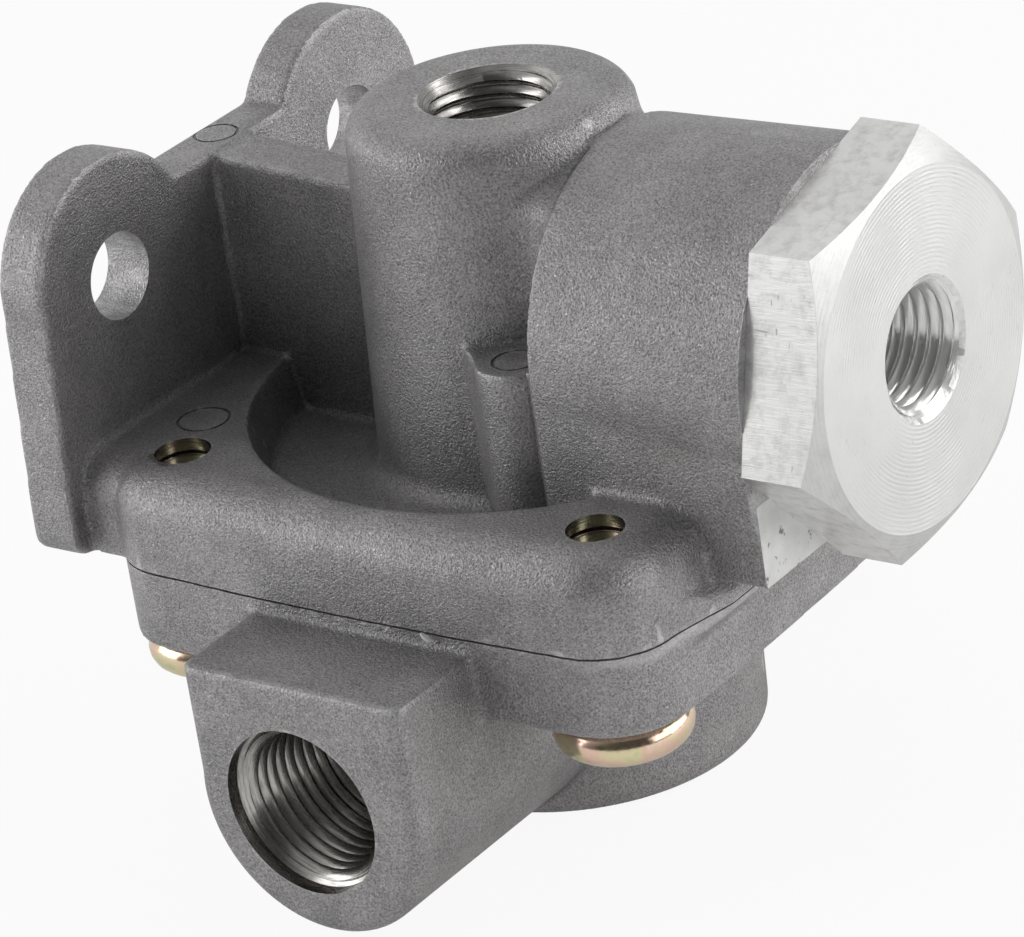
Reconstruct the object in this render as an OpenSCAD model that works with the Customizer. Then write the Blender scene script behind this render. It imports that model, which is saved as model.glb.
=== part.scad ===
// Quick exhaust valve with a built-in two-way check valve, cast in two halves and screwed together
// The origin is the centre of the exhaust mouth on the cover's flat bottom
// +Z runs up the balance port, +X out of the hexagon cap nut, the delivery ports face -Y and +Y

/* [Cover] */
// Height of the cover, from its flat bottom to its joint with the body
cover_h = 28.6; // [26:0.1:34]
// Thickness of the cover's square flange
flange_t = 8.5; // [7:0.1:10]
// Radius of the round drum below the flange
drum_r = 19.6; // [18.5:0.1:22]
// How much smaller the drum is at its foot
drum_draft = 0.6; // [0:0.1:1.2]
// Radius on the drum's bottom edge
drum_edge_r = 1.4; // [0.5:0.1:2.5]
// Thickness of the drum's wall
drum_wall = 2.8; // [2:0.1:3.5]
// Thickness of the cover's floor
floor_t = 3.6; // [2.5:0.1:5]

/* [Delivery bosses] */
// Radius of a delivery boss where it leaves the drum
delivery_root_r = 13.4; // [13:0.1:15]
// Radius of a delivery boss at its port face
delivery_face_r = 13.2; // [12:0.1:14]
// Distance from the valve's axis to a delivery port face
delivery_reach = 44.3; // [40:0.1:50]
// Step down from the joint to the flat top of a delivery boss
delivery_shelf = 1.5; // [0.5:0.1:3]
// Radius on the edges of a port face
delivery_edge_r = 1.5; // [0.5:0.1:2]
// How far the cast bosses sit off their ports' axis
delivery_shift = 0.8; // [0:0.1:1.2]

/* [Ports] */
// Wall radius of the supply and balance ports, at the crests of the thread
small_port_r = 5.7; // [5:0.1:6.5]
// Wall radius of the delivery and exhaust ports, at the crests of the thread
large_port_r = 7.4; // [6.5:0.1:8]
// Width of the countersink at a port's mouth
port_lead = 1.4; // [0.5:0.1:1.5]
// Depth of the thread in the supply and balance ports
small_port_l = 14; // [10:0.5:15]
// Depth of the thread in a delivery port
large_port_l = 17; // [12:0.5:20]

/* [Body base] */
// Height of the body's base above the joint
base_h = 10; // [8.5:0.1:13]
// Radius on the base's top edge
base_edge_r = 4.2; // [2:0.1:5]
// Spacing of the corner screws, the same both ways
screw_pitch = 49.4; // [48:0.1:54]
// Radius of the four corners, measured from their screws
corner_r = 7.4; // [7:0.1:9]
// How far each side bows out between its corners
side_bow = 0.6; // [0:0.1:1]
// How much nearer the supply axis the two rear corners sit, along X and along Y
rear_inset = [1.5, 2.2]; // [0:0.1:3]
// Radius of the round recess around the balance boss
recess_r = 28.5; // [27:0.1:29]
// Height of the recess floor above the joint
recess_floor = 4.3; // [4:0.1:6]
// How far the sloped lip under the check barrel stands out of the base
lip_reach = 1.7; // [0.5:0.1:2]

/* [Balance boss] */
// Height of the balance port's face above the joint
boss_h = 40.9; // [40:0.1:46]
// Radius of the boss at its top
boss_top_r = 14.1; // [13:0.1:15]
// Radius of the boss at the recess floor
boss_foot_r = 15.9; // [15.5:0.1:17]
// Radius on the boss's top edge
boss_edge_r = 3; // [1:0.1:4]
// Radius of the fillet at the boss's foot
boss_fillet_r = 2; // [0.5:0.1:3]

/* [Check barrel] */
// Height of the barrel's axis above the joint
barrel_axis = 20.4; // [20:0.1:22]
// Radius of the barrel at its machined end
barrel_r = 19.2; // [18.5:0.1:20]
// How much smaller the barrel is at the boss
barrel_draft = 0.5; // [0:0.1:1]
// Distance from the valve's axis to the barrel's machined end
barrel_end = 38.8; // [38:0.1:44]
// Distance from the valve's axis to the start of the barrel
barrel_start = 14.6; // [12:0.1:16]
// Height of the barrel's underside above the joint
barrel_foot = 3; // [2:0.1:4]
// Radius of the fillet between boss and barrel
neck_fillet_r = 3; // [1:0.1:5]
// Drop of the neck's round below the barrel's
neck_drop = 1.6; // [0.5:0.1:3]
// Radius of the two corner columns between boss and barrel
column_r = 3.9; // [3:0.1:4.5]
// Height of the corner columns above the joint
column_h = 21; // [15:0.1:26]

/* [Mounting plate] */
// Distance from the valve's axis to the plate's front face
plate_front = 33.7; // [33:0.1:38]
// Thickness of the plate
plate_t = 5.3; // [4:0.1:8]
// How much wider the plate is at its foot, on each side
plate_flare = 1.6; // [0:0.1:3]
// Radius of the plate's two lower corners
plate_corner_r = 2.4; // [0.5:0.1:4]
// Spacing of the two ear holes
ear_pitch = 38.6; // [36:0.1:44]
// Radius of the ear holes
ear_hole_r = 4.4; // [3.3:0.1:5.5]
// Radius of the round ears
ear_r = 11.9; // [10.5:0.1:13]
// How far the ears' round tops sit above their holes
ear_rise = 0.6; // [0:0.1:1.5]
// Height of the ear holes above the joint
ear_h = 25.2; // [22:0.1:27]
// Height of the web between the ears above the joint
web_h = 31.6; // [30:0.1:33]
// Width of the rib from the plate to the boss
rib_w = 6.2; // [4:0.1:8]
// How much the rib's top drops from the plate to the boss
rib_drop = 1.6; // [0:0.1:3]

/* [Cap nut] */
// Size of the hexagon across its flats
hex_af = 36.1; // [34:0.1:38]
// Thickness of the hexagon
hex_t = 8.1; // [6:0.1:11]
// Depth of the turned chamfer at the hexagon's corners
hex_chamfer = 1.65; // [0.5:0.05:3]
// Turn of the tightened hexagon about its axis
hex_turn = 16; // [0:1:59]
// Radius of the nut's threaded shank
shank_r = 14; // [13:0.1:15]
// Length of the nut's threaded shank
shank_l = 10.5; // [9:0.1:12]
// Thickness of the nut's sealing ring
nut_ring_d = 1.8; // [1.4:0.1:2.2]

/* [Check valve] */
// Radius of the check valve's bore in the body
chamber_r = 11.5; // [10.5:0.1:12]
// Length of the check valve's guide
guide_l = 13.6; // [12:0.1:14]
// Radius of the sliding shuttle
shuttle_r = 8.6; // [8:0.1:9]
// Travel of the shuttle between its two seats
shuttle_travel = 3; // [1.5:0.1:4]
// Height of the raised seats
seat_lip = 0.8; // [0.4:0.1:1.2]
// Radius of the air passage from the balance port
balance_passage_r = 4.2; // [3:0.1:4.5]
// Radius of the air passage down to the diaphragm
inlet_r = 3.2; // [2.5:0.1:3.6]

/* [Diaphragm] */
// Thickness of the rubber diaphragm
diaphragm_t = 2.2; // [1.5:0.1:3]
// Thickness of the pad under its middle
pad_t = 0.8; // [0.4:0.1:1.2]
// Travel of the diaphragm from rest to the exhaust seat
diaphragm_travel = 1.8; // [1:0.1:2.5]
// Thickness of the exhaust seat's tube
tube_wall = 2.4; // [1.8:0.1:2.6]
// Depth of the air space above the diaphragm
pocket_depth = 1.4; // [0.8:0.1:1.6]
// Thickness of the spring's seat ring
seat_ring_t = 1; // [0.6:0.1:1.5]
// Thickness of the spring's wire
spring_wire_d = 1.4; // [1:0.1:1.8]
// Number of turns in the spring
spring_turns = 6; // [4:1:8]
// Thickness of the cover's sealing ring
cover_ring_d = 1.8; // [1.4:0.1:2]

/* [Screws] */
// Radius of the screws' shanks
screw_r = 2.95; // [2.4:0.05:3.1]
// Radius of the screws' pan heads
head_r = 7.2; // [5.5:0.1:7.5]
// Height of the screws' pan heads
head_h = 4; // [3:0.1:5]
// Depth of the screws' ends below the top of the base
screw_end_depth = 1.6; // [0.5:0.1:3]

/* [Hidden] */

// Clearances
thread_gap = 0.05;   // between a screwed-in thread and its hole
ring_gap = 0.03;     // around a sealing ring in its groove
slide_gap = 0.06;    // around the sliding shuttle
stop_gap = 0.05;     // left at each end of a travel
rest_gap = 0.1;      // between the resting diaphragm and the body
side_gap = 0.5;      // around the diaphragm's rim
land = 1.3;          // least width of a sealing land
screw_clear = 0.35;  // around a screw in the cover
bury = 1;            // how deep one form is set into another
past = 1;            // how far a cutter runs past the face it opens
skirt_inset = 0.15;  // how far a straight skirt stays inside the round it hangs from
face_land = 0.6;     // how far the hexagon's face circle stays inside its flats
bore_step = 0.6;     // how much narrower the passage behind the supply thread is
thread_lead = 0.6;   // width of the chamfer on a screw's end
rub = 0.1;           // smallest step between two neighbouring surfaces

// Frame heights
joint_h = cover_h;
delivery_axis = delivery_root_r + rub;

// Air passages
chamber_start = barrel_end - shank_l - guide_l;
guide_r = chamber_r - thread_gap;
inlet_x = chamber_start + inlet_r + land;
pocket_r = inlet_x + inlet_r + side_gap;
shuttle_l = guide_l - 2 * seat_lip - shuttle_travel - 2 * stop_gap;
seat_r = balance_passage_r + land;

// Diaphragm stack, downwards from the joint
diaphragm_r = pocket_r + land;
diaphragm_top = joint_h - rest_gap;
diaphragm_bottom = diaphragm_top - diaphragm_t;
pad_bottom = diaphragm_bottom - pad_t;
exhaust_seat = pad_bottom - diaphragm_travel - stop_gap;
dish_r = diaphragm_r + side_gap;
dish_floor = diaphragm_bottom - diaphragm_travel - side_gap;
cavity_r = drum_r - drum_wall;
tube_r = large_port_r + tube_wall;
pad_r = tube_r + ring_gap;
seat_ring_in = tube_r + side_gap;
seat_ring_out = cavity_r - land;
seat_ring_bottom = diaphragm_bottom - seat_ring_t;
spring_r = (seat_ring_in + seat_ring_out) / 2;
spring_h = seat_ring_bottom - floor_t;

// Sealing ring of the cover
cover_groove_in = dish_r + land;
cover_groove_w = cover_ring_d + 2 * ring_gap;

// Corners and outline of the base and the flange
corner_c = screw_pitch / 2;
rear_x = corner_c - rear_inset[0];
rear_y = corner_c - rear_inset[1];
corners = [[-corner_c, -corner_c], [corner_c, -corner_c], [rear_x, rear_y], [-rear_x, rear_y]];
bow_steps = [0, 0.25, 0.5, 0.75];
rim_centres = [for (i = [0:3], t = bow_steps)
    let (from = corners[i], side = corners[(i + 1) % 4] - from, out = [side[1], -side[0]] / norm(side))
    from + t * side + 4 * t * (1 - t) * side_bow * out];

// Mounting plate and ears
ear_y = ear_pitch / 2;
plate_half = ear_y + ear_r;
plate_back = plate_front + plate_t;
ear_top_h = ear_h + ear_rise;
land_foot = 0.4;
web_angle = asin((web_h - ear_top_h) / ear_r);

// Corner columns sit where the boss meets the barrel's start
column_x = barrel_start + skirt_inset - column_r;
column_y = sqrt(boss_foot_r * boss_foot_r - column_x * column_x) + column_r;

casting = [0.44, 0.43, 0.44];
bright_aluminium = [0.83, 0.83, 0.82];
yellow_zinc = [0.78, 0.70, 0.46];
black_rubber = [0.10, 0.10, 0.10];
spring_steel = [0.55, 0.55, 0.56];
guide_brass = [0.72, 0.60, 0.33];

function arc(centre, r, from, to, steps) =
    [for (i = [0:steps]) let (a = from + (to - from) * i / steps) centre + r * [cos(a), sin(a)]];

// Turns a shape drawn along +Z so that it points along +X
module along_x() {
    rotate([0, 90, 0]) children();
}

// Turns a shape drawn along +Z so that it points along -Y
module along_front() {
    rotate([90, 0, 0]) children();
}

module ring(inner, outer, h) {
    difference() {
        cylinder(h = h, r = outer, $fn = 96);
        translate([0, 0, -past]) cylinder(h = h + 2 * past, r = inner, $fn = 96);
    }
}

// Port cutter: mouth at z = 0, running down, with a countersunk lead-in
module port_cut(r, depth) {
    translate([0, 0, -depth]) cylinder(h = depth + past, r = r, $fn = 64);
    translate([0, 0, -port_lead])
        cylinder(h = port_lead + past, r1 = r, r2 = r + port_lead + past, $fn = 64);
}

// One corner of the base, with its rounded top edge
module base_corner() {
    edge = min(base_edge_r, corner_r - 1);
    rotate_extrude($fn = 32)
        polygon(concat([[0, 0], [corner_r, 0]],
                       arc([corner_r - edge, base_h - edge], edge, 0, 90, 6),
                       [[0, base_h]]));
}

module base_block() {
    hull()
        for (c = rim_centres) translate([c[0], c[1], 0]) base_corner();
}

// Round recess with a small fillet at its floor
module recess_cut() {
    fillet = 1.2;
    translate([0, 0, recess_floor])
        rotate_extrude($fn = 96)
            polygon(concat([[0, 0]],
                           arc([recess_r - 2 * fillet, fillet], fillet, -90, 0, 5),
                           [[recess_r, base_h - recess_floor + past], [0, base_h - recess_floor + past]]));
}

module balance_boss() {
    foot = recess_floor;
    slope = (boss_foot_r - boss_top_r) / (boss_h - foot);
    fillet_r = boss_foot_r + boss_fillet_r;
    shoulder_r = boss_top_r + slope * boss_edge_r;
    rotate_extrude($fn = 96)
        polygon(concat([[0, foot - bury], [fillet_r, foot - bury]],
                       arc([fillet_r, foot + boss_fillet_r], boss_fillet_r, -90, -180, 6),
                       arc([shoulder_r - boss_edge_r, boss_h - boss_edge_r], boss_edge_r, 0, 90, 8),
                       [[0, boss_h]]));
}

// Check valve barrel: a drafted round on straight skirts
module check_barrel() {
    skirt_half = barrel_r - barrel_draft - skirt_inset;
    length = barrel_end - barrel_start;
    translate([barrel_start, 0, barrel_axis])
        along_x() cylinder(h = length, r1 = barrel_r - barrel_draft, r2 = barrel_r, $fn = 96);
    translate([barrel_start, -skirt_half, barrel_foot])
        cube([length, 2 * skirt_half, barrel_axis - barrel_foot]);
}

// Filleted neck that joins the barrel's start to the boss, above the columns and below the barrel's rim
module barrel_neck() {
    r = barrel_r - barrel_draft - neck_drop / 2;
    boss_r = (boss_foot_r + boss_top_r) / 2;
    root = barrel_start + bury;
    centre_x = barrel_start - neck_fillet_r;
    centre_y = sqrt(pow(boss_r + neck_fillet_r, 2) - centre_x * centre_x);
    touch = 180 + atan2(centre_y, centre_x);
    intersection() {
        translate([0, 0, column_h - bury])
            linear_extrude(r)
                polygon(concat(arc([centre_x, centre_y], neck_fillet_r, touch, 360, 8),
                               [[root, centre_y], [root, -centre_y]],
                               arc([centre_x, -centre_y], neck_fillet_r, 0, 360 - touch, 8)));
        translate([0, 0, barrel_axis - neck_drop]) along_x() cylinder(h = root, r = r, $fn = 96);
    }
}

// Half-round columns, each with a web that fills the corner behind it
module corner_columns() {
    root = barrel_start + bury;
    boss_angle = 78;
    web_edge = 115;
    h = column_h - recess_floor + bury;
    for (side = [0, 1])
        mirror([0, side, 0]) translate([0, 0, recess_floor - bury]) {
            translate([column_x, column_y, 0]) cylinder(h = h, r = column_r, $fn = 48);
            linear_extrude(h)
                polygon([[0, 0], [root, 0], [root, column_y], [column_x, column_y],
                         [column_x, column_y] + (column_r - skirt_inset) * [cos(web_edge), sin(web_edge)],
                         boss_top_r * [cos(boss_angle), sin(boss_angle)]]);
        }
}

// Sloped lip at the joint, under the barrel's overhang, fading out at the corners
module joint_lip() {
    side = corner_c + corner_r;
    root = side - corner_r / 2;
    tip = side + lip_reach;
    edge_h = barrel_foot / 3;
    half = corner_c + corner_r / 2;
    straight = corner_c - corner_r;
    intersection() {
        translate([0, half, 0])
            along_front()
                linear_extrude(2 * half)
                    polygon([[root, 0], [tip, 0], [tip, edge_h], [side, barrel_foot], [root, barrel_foot]]);
        linear_extrude(barrel_foot)
            polygon([[root, -half], [side - bury, -half], [tip, -straight], [tip, straight],
                     [side - bury, half], [root, half]]);
    }
}

// Flat plate with two round ears; it and its rib are cast in one with the body and drawn apart from it
module plate_blank() {
    foot = [plate_half + plate_flare - plate_corner_r, plate_corner_r];
    outline = concat(arc([-foot[0], foot[1]], plate_corner_r, 180, 270, 6),
                     arc(foot, plate_corner_r, -90, 0, 6),
                     arc([ear_y, ear_top_h], ear_r, -4, 180 - web_angle, 20),
                     arc([-ear_y, ear_top_h], ear_r, web_angle, 184, 20));
    translate([-plate_back, 0, 0])
        rotate([90, 0, 90]) linear_extrude(plate_t) polygon(outline);
}

// Solid land that carries the base out to the plate, with the base's rounded top edges
module plate_land() {
    half = plate_half - bury;
    edge = [half - base_edge_r, base_h - base_edge_r];
    translate([-plate_front, 0, 0])
        rotate([90, 0, 90])
            linear_extrude(plate_front - corner_c)
                polygon(concat([[-half, land_foot], [half, land_foot]],
                               arc(edge, base_edge_r, 0, 90, 6),
                               arc([-edge[0], edge[1]], base_edge_r, 90, 180, 6)));
}

// Foot of the rib, which fills the recess up to the base's top
module rib_foot() {
    translate([0, rib_w / 2, 0])
        along_front()
            linear_extrude(rib_w)
                polygon([[-recess_r - bury, recess_floor - bury], [-bury, recess_floor - bury],
                         [-bury, base_h], [-recess_r - bury, base_h]]);
}

// Rib from the plate to the boss, standing on the base
module plate_rib() {
    difference() {
        translate([0, rib_w / 2, 0])
            along_front()
                linear_extrude(rib_w)
                    polygon([[-plate_front - bury, base_h], [-bury, base_h],
                             [-bury, web_h - rib_drop], [-boss_top_r, web_h - rib_drop],
                             [-plate_front - bury, web_h - rub]]);
        balance_boss();
    }
}

module body_casting() {
    difference() {
        union() {
            base_block();
            plate_land();
        }
        recess_cut();
    }
    balance_boss();
    check_barrel();
    barrel_neck();
    corner_columns();
    joint_lip();
    rib_foot();
}

module body_passages() {
    passage_floor = base_h + rub;
    translate([0, 0, boss_h]) port_cut(small_port_r, small_port_l);
    translate([0, 0, passage_floor])
        cylinder(h = boss_h - passage_floor - small_port_l + past, r = balance_passage_r + rub, $fn = 64);
    translate([0, 0, barrel_axis])
        along_x() cylinder(h = chamber_start + seat_lip + past, r = balance_passage_r, $fn = 64);
    translate([chamber_start, 0, barrel_axis])
        along_x() difference() {
            cylinder(h = barrel_end - chamber_start, r = chamber_r, $fn = 96);
            translate([0, 0, -past]) cylinder(h = seat_lip + past, r = seat_r, $fn = 64);
        }
    translate([barrel_end - shank_l, 0, barrel_axis])
        along_x() cylinder(h = shank_l + past, r = shank_r, $fn = 96);
    translate([inlet_x, 0, 0]) cylinder(h = barrel_axis - seat_r - seat_lip, r = inlet_r, $fn = 48);
    translate([0, 0, -past]) cylinder(h = pocket_depth + past, r = pocket_r, $fn = 96);
}

module body() {
    color(casting)
        translate([0, 0, joint_h])
            difference() {
                body_casting();
                body_passages();
                for (c = corners)
                    translate([c[0], c[1], -past])
                        cylinder(h = base_h + 2 * past, r = screw_r + thread_gap, $fn = 48);
            }
}

module mounting_plate() {
    color(casting)
        translate([0, 0, joint_h])
            difference() {
                union() {
                    plate_blank();
                    plate_rib();
                }
                for (side = [-1, 1])
                    translate([-plate_back - past, side * ear_y, ear_h])
                        along_x() cylinder(h = plate_t + 2 * past, r = ear_hole_r, $fn = 64);
            }
}

module cover_flange() {
    hull()
        for (c = rim_centres)
            translate([c[0], c[1], joint_h - flange_t]) cylinder(h = flange_t, r = corner_r, $fn = 32);
}

module cover_drum() {
    foot_r = drum_r - drum_draft;
    rotate_extrude($fn = 96)
        polygon(concat([[0, 0]],
                       arc([foot_r - drum_edge_r, drum_edge_r], drum_edge_r, -90, 0, 6),
                       [[drum_r, joint_h - flange_t + bury], [0, joint_h - flange_t + bury]]));
}

// Both delivery bosses: drafted rounds with straight cheeks up to a flat shelf
module delivery_bosses() {
    edge = delivery_edge_r;
    root = delivery_root_r - skirt_inset;
    face = delivery_face_r - skirt_inset;
    shelf_h = joint_h - delivery_shelf - delivery_axis;
    for (side = [0, 1])
        mirror([0, side, 0]) translate([delivery_shift, 0, delivery_axis]) {
            along_front()
                rotate_extrude($fn = 96)
                    polygon(concat([[0, 0], [delivery_root_r, 0]],
                                   arc([delivery_face_r - edge, delivery_reach - edge], edge, 0, 90, 6),
                                   [[0, delivery_reach]]));
            linear_extrude(shelf_h)
                polygon(concat([[root, 0], [-root, 0]],
                               arc([edge - face, edge - delivery_reach], edge, 180, 270, 6),
                               arc([face - edge, edge - delivery_reach], edge, 270, 360, 6)));
        }
}

module cover_passages() {
    // Dish for the diaphragm, and the ring-shaped cavity around the exhaust tube
    translate([0, 0, dish_floor]) cylinder(h = joint_h - dish_floor + past, r = dish_r, $fn = 96);
    translate([0, 0, floor_t]) ring(tube_r, cavity_r, dish_floor - floor_t + past);
    translate([0, 0, exhaust_seat]) cylinder(h = joint_h - exhaust_seat, r = tube_r + bury, $fn = 96);
    // Exhaust port, straight through the tube
    translate([0, 0, -past]) cylinder(h = exhaust_seat + 2 * past, r = large_port_r, $fn = 64);
    // Delivery ports and the passages behind them
    for (turn = [0, 180])
        rotate([0, 0, turn]) translate([0, 0, delivery_axis]) {
            translate([0, -delivery_reach, 0]) along_front() port_cut(large_port_r, large_port_l);
            translate([0, -cavity_r + past, 0])
                along_front() cylinder(h = delivery_reach - cavity_r, r = large_port_r - land, $fn = 64);
        }
    // Groove for the sealing ring
    translate([0, 0, joint_h - cover_groove_w])
        ring(cover_groove_in, cover_groove_in + cover_groove_w, cover_groove_w + past);
    for (c = corners)
        translate([c[0], c[1], joint_h - flange_t - past])
            cylinder(h = flange_t + 2 * past, r = screw_r + screw_clear, $fn = 48);
}

module cover() {
    color(casting)
        difference() {
            union() {
                cover_flange();
                cover_drum();
                delivery_bosses();
            }
            cover_passages();
        }
}

// Round sealing ring centred on the Z axis
module seal(mean_r, cord_d) {
    rotate_extrude($fn = 96) translate([mean_r, 0]) circle(d = cord_d, $fn = 24);
}

module cover_o_ring() {
    color(black_rubber)
        translate([0, 0, joint_h - cover_groove_w / 2])
            seal(cover_groove_in + cover_groove_w / 2, cover_ring_d);
}

// Pan head below z = 0 and shank above it
module pan_screw(length) {
    crown = 1.2;
    rim = head_h - crown;
    rotate_extrude($fn = 48)
        polygon(concat([[0, -head_h], [head_r - rim - crown, -head_h]],
                       arc([head_r - rim, -rim], rim, -60, 0, 6),
                       [[head_r, 0], [screw_r, 0], [screw_r, length - thread_lead], [screw_r - thread_lead, length], [0, length]]));
}

module cover_screws() {
    color(yellow_zinc)
        for (c = corners)
            translate([c[0], c[1], joint_h - flange_t])
                pan_screw(flange_t + base_h - screw_end_depth);
}

// Hexagon with a turned chamfer on its outer corners
module hexagon() {
    corner = hex_af / sqrt(3);
    face_r = hex_af / 2 - face_land;
    slope = (corner - face_r) / hex_chamfer;
    chamfer_start = hex_t - hex_chamfer - bury;
    intersection() {
        rotate([0, 0, 180 - hex_turn]) cylinder(h = hex_t, r = corner, $fn = 6);
        union() {
            cylinder(h = chamfer_start, r = corner + slope * bury, $fn = 96);
            translate([0, 0, chamfer_start])
                cylinder(h = hex_chamfer + bury, r1 = corner + slope * bury, r2 = face_r, $fn = 96);
        }
    }
}

module supply_cap_nut() {
    groove_w = nut_ring_d + 2 * ring_gap;
    nut_r = shank_r - thread_gap;
    bore = small_port_r - bore_step;
    color(bright_aluminium)
        translate([barrel_end, 0, joint_h + barrel_axis])
            along_x() difference() {
                union() {
                    hexagon();
                    translate([0, 0, -shank_l]) cylinder(h = shank_l + bury, r = nut_r, $fn = 96);
                    translate([0, 0, -shank_l - seat_lip]) cylinder(h = seat_lip + bury, r = bore + land, $fn = 64);
                }
                translate([0, 0, hex_t]) port_cut(small_port_r, small_port_l);
                translate([0, 0, -shank_l - seat_lip - past])
                    cylinder(h = shank_l + hex_t, r = bore, $fn = 64);
                translate([0, 0, -groove_w]) ring(nut_r - groove_w, nut_r + past, groove_w);
            }
}

module cap_nut_o_ring() {
    groove_w = nut_ring_d + 2 * ring_gap;
    color(black_rubber)
        translate([barrel_end - groove_w / 2, 0, joint_h + barrel_axis])
            along_x() seal(shank_r - thread_gap - groove_w / 2, nut_ring_d);
}

// Slotted sleeve that guides the shuttle
module check_valve_guide() {
    slot_l = guide_l - 4 * land;
    color(guide_brass)
        translate([chamber_start, 0, joint_h + barrel_axis])
            along_x() difference() {
                ring(shuttle_r + slide_gap, guide_r, guide_l);
                for (turn = [0:90:359])
                    rotate([0, 0, turn])
                        translate([0, -inlet_r, (guide_l - slot_l) / 2])
                            cube([guide_r + past, 2 * inlet_r, slot_l]);
            }
}

// Waisted shuttle, resting on the balance seat
module check_valve_shuttle() {
    waist = shuttle_r - land;
    color(black_rubber)
        translate([chamber_start + seat_lip + stop_gap, 0, joint_h + barrel_axis])
            along_x() rotate_extrude($fn = 96)
                polygon([[0, 0], [shuttle_r, 0], [shuttle_r, shuttle_l / 4], [waist, shuttle_l / 4 + land],
                         [waist, 3 * shuttle_l / 4 - land], [shuttle_r, 3 * shuttle_l / 4],
                         [shuttle_r, shuttle_l], [0, shuttle_l]]);
}

module diaphragm() {
    bead = 0.4;
    color(black_rubber)
        rotate_extrude($fn = 96)
            polygon([[0, pad_bottom], [pad_r - bead, pad_bottom], [pad_r, diaphragm_bottom],
                     [diaphragm_r - bead, diaphragm_bottom], [diaphragm_r, diaphragm_bottom + bead],
                     [diaphragm_r, diaphragm_top], [0, diaphragm_top]]);
}

module spring_seat() {
    color(spring_steel)
        translate([0, 0, seat_ring_bottom]) ring(seat_ring_in, seat_ring_out, seat_ring_t);
}

// Round wire swept along a helix that stands on the cover's floor
module diaphragm_spring() {
    sides = 8;
    steps_per_turn = 16;
    steps = spring_turns * steps_per_turn;
    rise = spring_h - spring_wire_d;
    points = [for (i = [0:steps], k = [0:sides - 1])
        let (a = 360 * i / steps_per_turn, b = 360 * k / sides, r = spring_r + spring_wire_d / 2 * cos(b))
        [r * cos(a), r * sin(a), rise * i / steps + spring_wire_d / 2 * (1 + sin(b))]];
    walls = [for (i = [0:steps - 1], k = [0:sides - 1])
        let (n = (k + 1) % sides, p = i * sides, q = p + sides)
        [p + k, q + k, q + n, p + n]];
    first = [for (k = [0:sides - 1]) k];
    last = [for (k = [sides - 1:-1:0]) steps * sides + k];
    color(spring_steel)
        translate([0, 0, floor_t]) polyhedron(points, concat(walls, [first, last]));
}

body();
mounting_plate();
cover();
cover_o_ring();
cover_screws();
supply_cap_nut();
cap_nut_o_ring();
check_valve_guide();
check_valve_shuttle();
diaphragm();
spring_seat();
diaphragm_spring();
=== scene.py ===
import math

import bmesh
import bpy
from mathutils import Matrix, Vector
from mathutils.noise import noise as noise_at


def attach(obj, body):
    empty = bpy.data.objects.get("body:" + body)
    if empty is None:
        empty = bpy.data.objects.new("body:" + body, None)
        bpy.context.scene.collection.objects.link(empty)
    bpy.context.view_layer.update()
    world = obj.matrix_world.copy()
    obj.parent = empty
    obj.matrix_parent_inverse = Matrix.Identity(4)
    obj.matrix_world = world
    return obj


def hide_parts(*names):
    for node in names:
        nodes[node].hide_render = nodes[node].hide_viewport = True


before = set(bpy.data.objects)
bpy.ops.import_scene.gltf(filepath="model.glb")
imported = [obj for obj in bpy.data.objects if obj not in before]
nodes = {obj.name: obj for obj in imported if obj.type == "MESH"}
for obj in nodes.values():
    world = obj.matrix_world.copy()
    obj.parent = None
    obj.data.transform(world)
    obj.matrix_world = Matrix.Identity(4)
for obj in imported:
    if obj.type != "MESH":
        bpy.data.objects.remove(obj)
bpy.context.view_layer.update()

# Sizes of the valve in metres, as the CAD has them
MM = 0.001
JOINT_Z = 28.6 * MM
BASE_TOP_Z = 38.6 * MM
BOSS_TOP_Z = 69.5 * MM
BARREL_AXIS_Z = 49.0 * MM
BARREL_END_X = 38.8 * MM
CHAMBER_X = 14.7 * MM
DELIVERY_Z = 13.5 * MM
DELIVERY_Y = 44.3 * MM
PLATE_BACK_X = -39.0 * MM
PLATE_FRONT_X = -33.7 * MM
EAR_Y = 19.3 * MM
EAR_Z = 53.8 * MM
EAR_HOLE = 4.4 * MM
INLET_X = 19.2 * MM
JOINT_LEFT_X = -32.9 * MM
JOINT_WAVE = 0.07 * MM
FOOT_TOP_Z = 40 * MM
HEX_FACE_X = 46.9 * MM
SCREWS = [
    (-24.7 * MM, -24.7 * MM),
    (24.7 * MM, -24.7 * MM),
    (23.2 * MM, 22.5 * MM),
    (-23.2 * MM, 22.5 * MM),
]
SCREW_SEAT_Z = 20.1 * MM
SMALL_CREST = 5.7 * MM
LARGE_CREST = 7.4 * MM
SMALL_LEAD = 1.15 * MM
LARGE_LEAD = 1.3 * MM
THREAD_DEPTH = 0.62 * MM
THREAD_PITCH = 1.411 * MM
# Crest radius, length and countersink of the two sizes of port thread
SMALL_THREAD = (SMALL_CREST, 14.6 * MM, SMALL_LEAD)
LARGE_THREAD = (LARGE_CREST, 17.6 * MM, 2.2 * MM)
# Reach of the cutting blocks, past the whole valve, and grain of the remeshed skins
BIG = 0.2
VOXEL = 0.40 * MM
X_AXIS = Vector((1, 0, 0))
Y_AXIS = Vector((0, 1, 0))
Z_AXIS = Vector((0, 0, 1))


# Node helpers
def new_material(name):
    material = bpy.data.materials.new(name)
    material.use_nodes = True
    tree = material.node_tree
    shader = tree.nodes["Principled BSDF"]
    return material, tree, shader


def add(tree, kind, **values):
    node = tree.nodes.new(kind)
    for key, value in values.items():
        setattr(node, key, value)
    return node


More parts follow.
